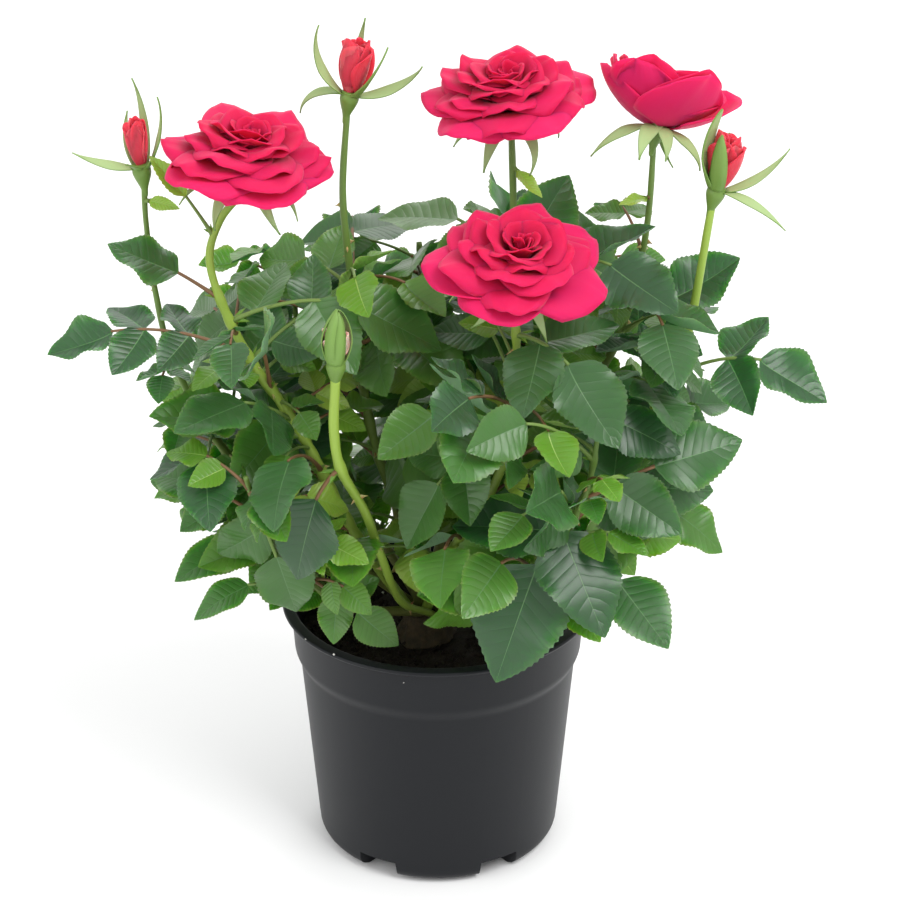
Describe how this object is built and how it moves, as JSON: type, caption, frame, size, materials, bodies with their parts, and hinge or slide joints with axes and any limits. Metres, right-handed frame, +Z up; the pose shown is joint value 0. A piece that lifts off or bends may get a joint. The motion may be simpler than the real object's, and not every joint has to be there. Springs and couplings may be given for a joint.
{
  "type": "rose bush",
  "caption": "Potted miniature rose bush with pink double blooms and buds over dark compound leaves, in a plain round black nursery pot filled with compost.",
  "frame": {"origin": "centre of the pot's underside, on the surface that it stands on", "axes": "+Z up along the pot's axis; -Y is the front, with +X to the right of a viewer there"},
  "size_m": [0.2773, 0.1981, 0.3197],
  "materials": {
    "pot": "satin",
    "soil": "matte",
    "wood": "matte",
    "cane": "satin",
    "foliage": "satin",
    "petal": "velvety"
  },
  "bodies": {
    "root": {"pot": "pot", "soil": "soil", "trunk": "wood", "cane_left_bud": "cane", "foliage_left_bud": "foliage", "cane_left_bloom": "cane", "foliage_left_bloom": "foliage", "cane_front_bud": "cane", "foliage_front_bud": "foliage", "cane_tall_bud": "cane", "foliage_tall_bud": "foliage", "cane_back_bloom": "cane", "foliage_back_bloom": "foliage", "cane_front_bloom": "cane", "foliage_front_bloom": "foliage", "cane_right_bloom": "cane", "foliage_right_bloom": "foliage", "cane_right_bud": "cane", "foliage_right_bud": "foliage", "cane_back_left": "cane", "foliage_back_left": "foliage", "cane_back_middle": "cane", "foliage_back_middle": "foliage", "cane_back_right": "cane", "foliage_back_right": "foliage", "cane_front_right": "cane", "foliage_front_right": "foliage", "cane_front_left": "cane", "foliage_front_left": "foliage"}
  },
  "joints": []
}
